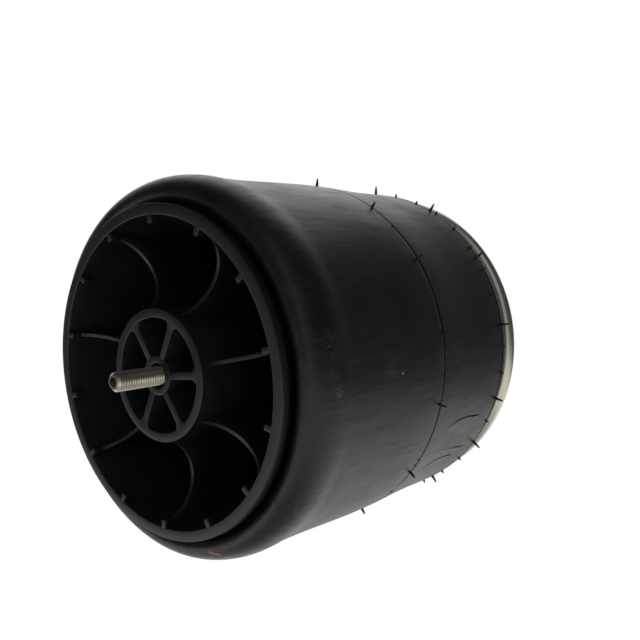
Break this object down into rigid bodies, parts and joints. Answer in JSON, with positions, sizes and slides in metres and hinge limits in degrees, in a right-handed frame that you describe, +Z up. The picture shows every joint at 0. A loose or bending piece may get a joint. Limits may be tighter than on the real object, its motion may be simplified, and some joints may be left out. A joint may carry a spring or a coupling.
{
  "type": "air suspension spring",
  "caption": "Rolling-lobe air spring: a crimped steel bead plate and a black rubber bellows rolled down over a ribbed plastic piston with a central stud.",
  "frame": {"origin": "centre of the piston's foot, in the plane that sits on the axle bracket, on the axis of the piston's stud", "axes": "+Z up along the spring's axis, from the piston to the bead plate; +X through the two mounting studs; -Y towards the air inlet"},
  "size_m": [0.252, 0.252, 0.3193],
  "materials": {
    "piston_plastic": "glass-filled black nylon, fine moulded grain, satin where handled",
    "plain_steel": "plain pressed steel, lightly oiled",
    "stud_zinc": "yellowish zinc plate over rolled thread",
    "seal_rubber": "smooth black nitrile",
    "bead_rubber": "smooth black moulded rubber",
    "bead_wire": "brassed bead wire bundle",
    "bumper_rubber": "matt black moulded rubber",
    "cover_rubber": "smooth black moulded rubber with a soft sheen, mould lines, vent spews and light dust",
    "cord_ply": "rubbered nylon cord",
    "liner_rubber": "smooth black airtight rubber",
    "plate_zinc": "pale yellow zinc-plated pressed steel"
  },
  "bodies": {
    "piston": {"piston_shell": "piston_plastic", "hub_sleeve": "plain_steel", "piston_stud": "stud_zinc", "stud_nut": "stud_zinc", "stud_washer": "stud_zinc", "end_closure": "plain_steel", "closure_seal": "seal_rubber", "lower_bead": "bead_rubber", "lower_bead_wire": "bead_wire", "bumper": "bumper_rubber", "bumper_base": "plain_steel"},
    "lobe": {"bellows_cover": "cover_rubber", "bellows_ply": "cord_ply", "bellows_liner": "liner_rubber"},
    "plate": {"upper_bead": "bead_rubber", "upper_bead_wire": "bead_wire", "bead_plate": "plate_zinc", "mounting_stud_left": "stud_zinc", "mounting_stud_right": "stud_zinc", "air_inlet": "stud_zinc", "inlet_seal": "seal_rubber"}
  },
  "joints": [
    {"name": "lobe_roll", "type": "slide", "parent": "piston", "child": "lobe", "axis": [0, 0, 1], "range_m": [-0.004, 0.1], "stiffness_N_per_m": 2000, "springref_m": 0.0116, "deforming": ["bellows_cover", "bellows_ply", "bellows_liner"]},
    {"name": "plate_travel", "type": "slide", "parent": "lobe", "child": "plate", "axis": [0, 0, 1], "range_m": [-0.004, 0.1], "stiffness_N_per_m": 2000, "springref_m": 0.0116}
  ],
  "couplings": [
    {"joint": "plate_travel", "follows": "lobe_roll", "ratio": 1}
  ]
}
